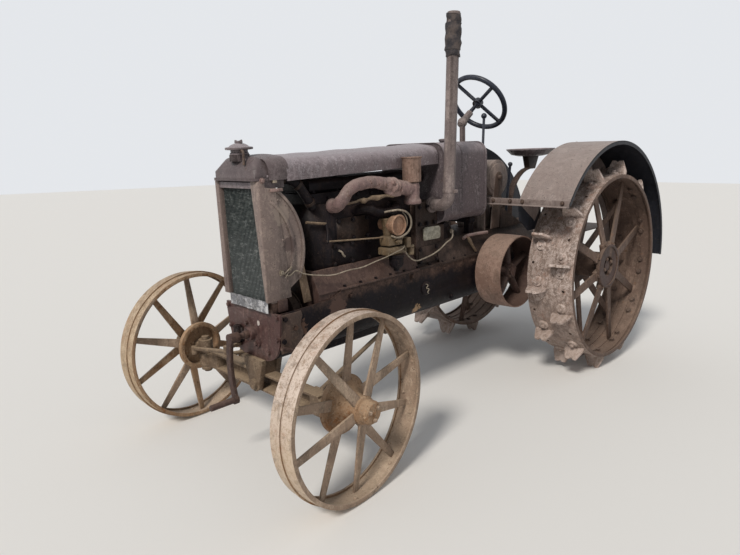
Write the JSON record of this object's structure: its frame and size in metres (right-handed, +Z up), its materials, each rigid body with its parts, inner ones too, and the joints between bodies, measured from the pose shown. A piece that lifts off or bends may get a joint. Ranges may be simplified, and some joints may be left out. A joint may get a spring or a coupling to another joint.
{
  "type": "vintage farm tractor",
  "caption": "Vintage farm tractor on spoked steel wheels: lugged drive wheels, banded front wheels, U-shaped plate frame, open engine, belt pulley and hand crank.",
  "frame": {"origin": "on the floor, below the middle of the tractor's length and width", "axes": "+Z up, -Y forward, +X to the tractor's left"},
  "size_m": [1.5424, 3.5115, 2.1762],
  "materials": {
    "oily_iron": "matte, oil-soaked and dirty",
    "dusty_paint": "matte, faded and dusty",
    "maroon_paint": "matte, faded",
    "rust": "rusty",
    "brown_iron": "matte, dusty rust",
    "core": "dull, scuffed",
    "bare_metal": "dull, scuffed",
    "wheel_blue": "worn",
    "fender_paint": "matte, faded and dusty",
    "front_wheel_paint": "worn to rust, dusty",
    "rear_wheel_paint": "worn to rust, dusty"
  },
  "bodies": {
    "chassis": {"frame_pan": "oily_iron", "front_plate": "maroon_paint", "oil_sump": "oily_iron", "crankcase": "brown_iron", "cylinder_block": "oily_iron", "cylinder_head": "dusty_paint", "clutch_housing": "dusty_paint", "transmission": "dusty_paint", "rear_axle": "dusty_paint", "exhaust_manifold": "rust", "exhaust_stub": "rust", "intake_manifold": "brown_iron", "carburettor": "rust", "air_stack": "brown_iron", "crank_pulley": "brown_iron", "radiator_core": "core", "radiator_tank": "dusty_paint", "radiator_base": "bare_metal", "radiator_cap": "dusty_paint", "fan_shroud": "dusty_paint", "hood": "dusty_paint", "fuel_tank": "dusty_paint", "tank_bearers": "oily_iron", "dash_drum": "dusty_paint", "steering_post": "brown_iron", "levers": "brown_iron", "platform": "dusty_paint", "seat": "brown_iron", "seat_spring": "brown_iron", "drawbar": "maroon_paint", "fender_left": "fender_paint", "fender_right": "fender_paint", "fender_bar": "maroon_paint", "front_axle": "brown_iron", "axle_pivot": "brown_iron", "stay_rods": "brown_iron", "steering_box": "oily_iron", "pulley_drive": "oily_iron"},
    "left_rear_wheel": {"rear_rim_left": "rear_wheel_paint", "rear_spokes_left": "rear_wheel_paint"},
    "right_rear_wheel": {"rear_rim_right": "rear_wheel_paint", "rear_spokes_right": "rear_wheel_paint"},
    "left_knuckle": {"knuckle_left": "brown_iron"},
    "right_knuckle": {"knuckle_right": "brown_iron"},
    "left_front_wheel": {"front_wheel_left": "front_wheel_paint"},
    "right_front_wheel": {"front_wheel_right": "front_wheel_paint"},
    "tie_bar": {"tie_rod": "brown_iron"},
    "drag_bar": {"drag_link": "brown_iron"},
    "pitman": {"pitman_arm": "brown_iron"},
    "steering": {"steering_wheel": "wheel_blue"},
    "pulley": {"belt_pulley": "rust"},
    "starting_crank": {"crank_handle": "brown_iron"},
    "fan_rotor": {"fan": "brown_iron"}
  },
  "joints": [
    {"name": "left_rear_spin", "type": "hinge", "parent": "chassis", "child": "left_rear_wheel", "pos_m": [0.575, 1.017, 0.69691], "axis": [1, 0, 0], "continuous": true},
    {"name": "right_rear_spin", "type": "hinge", "parent": "chassis", "child": "right_rear_wheel", "pos_m": [-0.575, 1.017, 0.69691], "axis": [1, 0, 0], "continuous": true},
    {"name": "steer", "type": "hinge", "parent": "chassis", "child": "left_knuckle", "pos_m": [0.54, -1.3285, 0.407], "axis": [0, -0.034, 0.9994], "range_deg": [-36.2, 23.8]},
    {"name": "steer_right", "type": "hinge", "parent": "chassis", "child": "right_knuckle", "pos_m": [-0.54, -1.3285, 0.407], "axis": [0, -0.034, 0.9994], "range_deg": [-36.2, 23.8]},
    {"name": "left_front_spin", "type": "hinge", "parent": "left_knuckle", "child": "left_front_wheel", "pos_m": [0.65532, -1.31622, 0.41443], "axis": [0.9942, 0.1079, 0.0037], "continuous": true},
    {"name": "right_front_spin", "type": "hinge", "parent": "right_knuckle", "child": "right_front_wheel", "pos_m": [-0.65532, -1.34126, 0.41357], "axis": [0.9942, 0.1079, 0.0037], "continuous": true},
    {"name": "tie_bar_pin", "type": "hinge", "parent": "left_knuckle", "child": "tie_bar", "pos_m": [0.52866, -1.22077, 0.31061], "axis": [0, -0.034, 0.9994], "range_deg": [-23.8, 36.2]},
    {"name": "drag_link_pin", "type": "hinge", "parent": "right_knuckle", "child": "drag_bar", "pos_m": [-0.5319, -1.40302, 0.40447], "axis": [0, -0.034, 0.9994], "range_deg": [-23.8, 36.2]},
    {"name": "pitman_turn", "type": "hinge", "parent": "chassis", "child": "pitman", "pos_m": [-0.112, -1.37923, 0.54536], "axis": [0, -0.034, 0.9994], "range_deg": [-36.2, 23.8]},
    {"name": "steering_turn", "type": "hinge", "parent": "chassis", "child": "steering", "pos_m": [-0.255, 0.60467, 1.67045], "axis": [0, 0.7886, 0.6149], "range_deg": [-289.6, 190.4]},
    {"name": "pulley_spin", "type": "hinge", "parent": "chassis", "child": "pulley", "pos_m": [0.31, 0.34989, 0.71824], "axis": [1, 0, 0], "continuous": true},
    {"name": "crank_spin", "type": "hinge", "parent": "chassis", "child": "starting_crank", "pos_m": [0, -1.43152, 0.61162], "axis": [0, -0.9994, -0.034], "continuous": true},
    {"name": "fan_spin", "type": "hinge", "parent": "chassis", "child": "fan_rotor", "pos_m": [0, -1.247, 1.07016], "axis": [0, -0.9994, -0.034], "continuous": true}
  ],
  "couplings": [
    {"joint": "steer_right", "follows": "steer", "ratio": 1},
    {"joint": "tie_bar_pin", "follows": "steer", "ratio": -1},
    {"joint": "drag_link_pin", "follows": "steer", "ratio": -1},
    {"joint": "pitman_turn", "follows": "steer", "ratio": 1},
    {"joint": "steering_turn", "follows": "steer", "ratio": 8}
  ]
}
